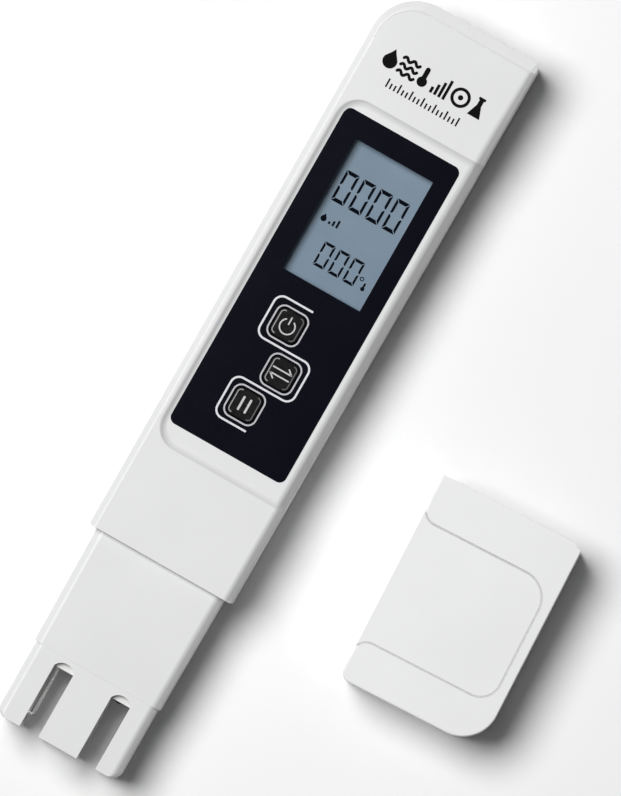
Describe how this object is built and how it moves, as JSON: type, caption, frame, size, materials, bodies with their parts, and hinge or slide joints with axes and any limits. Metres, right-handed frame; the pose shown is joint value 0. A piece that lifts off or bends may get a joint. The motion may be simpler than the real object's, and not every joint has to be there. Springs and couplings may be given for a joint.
{
  "type": "digital water tester",
  "caption": "Pen-shaped water conductivity tester with display and keys over a slotted probe, and its pulled-off protective cap lying beside it.",
  "frame": {"origin": "middle of the flat back of the tester's case, the face it lies on", "axes": "+Y along the case towards its top end (the probe points to -Y), +Z out of the front face with the display, +X to the right seen from the front"},
  "size_m": [0.0828, 0.1535, 0.014],
  "materials": {
    "white_case": "satin",
    "white_inner": "satin",
    "panel_film": "semi-gloss printed film",
    "clear_window": "clear polished",
    "lcd_glass": "clear polished",
    "lcd_grey": "satin, blue-grey polariser",
    "reflector_foil": "satin",
    "dark_rubber": "matt",
    "key_grey": "fine texture",
    "switch_black": "matt",
    "plunger_white": "satin",
    "board_green": "solder resist",
    "tinned_metal": "tinned",
    "capacitor_blue": "satin sleeve",
    "trimmer_blue": "satin",
    "rotor_brass": "turned",
    "cell_steel": "nickel plated",
    "contact_spring": "nickel plated",
    "electrode_steel": "polished",
    "sensor_black": "epoxy bead",
    "screw_steel": "zinc plated",
    "wire_red": "satin",
    "wire_black": "satin",
    "wire_yellow": "satin"
  },
  "bodies": {
    "tester": {"front_shell": "white_case", "rear_shell": "white_case", "probe_sleeve": "white_case", "probe_guard": "white_case", "lcd_holder": "white_inner", "electrode_block": "white_inner", "face_panel": "panel_film", "display_window": "clear_window", "lcd_front_glass": "lcd_glass", "lcd_rear_glass": "lcd_grey", "lcd_reflector": "reflector_foil", "connector_strip": "dark_rubber", "sleeve_seal": "dark_rubber", "power_switch": "switch_black", "shift_switch": "switch_black", "hold_switch": "switch_black", "controller_chip": "switch_black", "circuit_board": "board_green", "crystal_can": "tinned_metal", "filter_capacitor": "capacitor_blue", "calibration_trimmer": "trimmer_blue", "battery_cell_1": "cell_steel", "battery_cell_2": "cell_steel", "battery_contact_near": "contact_spring", "battery_contact_far": "contact_spring", "electrode_left": "electrode_steel", "electrode_right": "electrode_steel", "temperature_sensor": "sensor_black", "electrode_wire_left": "wire_red", "electrode_wire_right": "wire_black", "sensor_wire": "wire_yellow", "case_screw_1": "screw_steel", "board_screw_1": "screw_steel", "case_screw_2": "screw_steel", "board_screw_2": "screw_steel", "case_screw_3": "screw_steel", "board_screw_3": "screw_steel", "case_screw_4": "screw_steel", "board_screw_4": "screw_steel"},
    "power_button": {"power_key": "key_grey", "power_plunger": "plunger_white"},
    "shift_button": {"shift_key": "key_grey", "shift_plunger": "plunger_white"},
    "hold_button": {"hold_key": "key_grey", "hold_plunger": "plunger_white"},
    "door": {"battery_door": "white_case", "battery_bridge": "contact_spring"},
    "trimmer_rotor": {"calibration_screw": "rotor_brass"},
    "cap": {"probe_cap": "white_case"}
  },
  "joints": [
    {"name": "power_press", "type": "slide", "parent": "tester", "child": "power_button", "axis": [0, 0, -1], "range_m": [0, 0.00035], "stiffness_N_per_m": 2000},
    {"name": "shift_press", "type": "slide", "parent": "tester", "child": "shift_button", "axis": [0, 0, -1], "range_m": [0, 0.00035], "stiffness_N_per_m": 2000},
    {"name": "hold_press", "type": "slide", "parent": "tester", "child": "hold_button", "axis": [0, 0, -1], "range_m": [0, 0.00035], "stiffness_N_per_m": 2000},
    {"name": "battery_door_slide", "type": "slide", "parent": "tester", "child": "door", "axis": [0, 1, 0], "range_m": [0, 0.03]},
    {"name": "calibration_screw_turn", "type": "hinge", "parent": "tester", "child": "trimmer_rotor", "pos_m": [-0.003, -0.03135, 0.0025], "axis": [0, 0, -1], "range_deg": [-135, 135]},
    {"name": "cap_pull", "type": "slide", "parent": "tester", "child": "cap", "axis": [0.0419, -0.9991, 0], "range_m": [0, 0.085]}
  ]
}
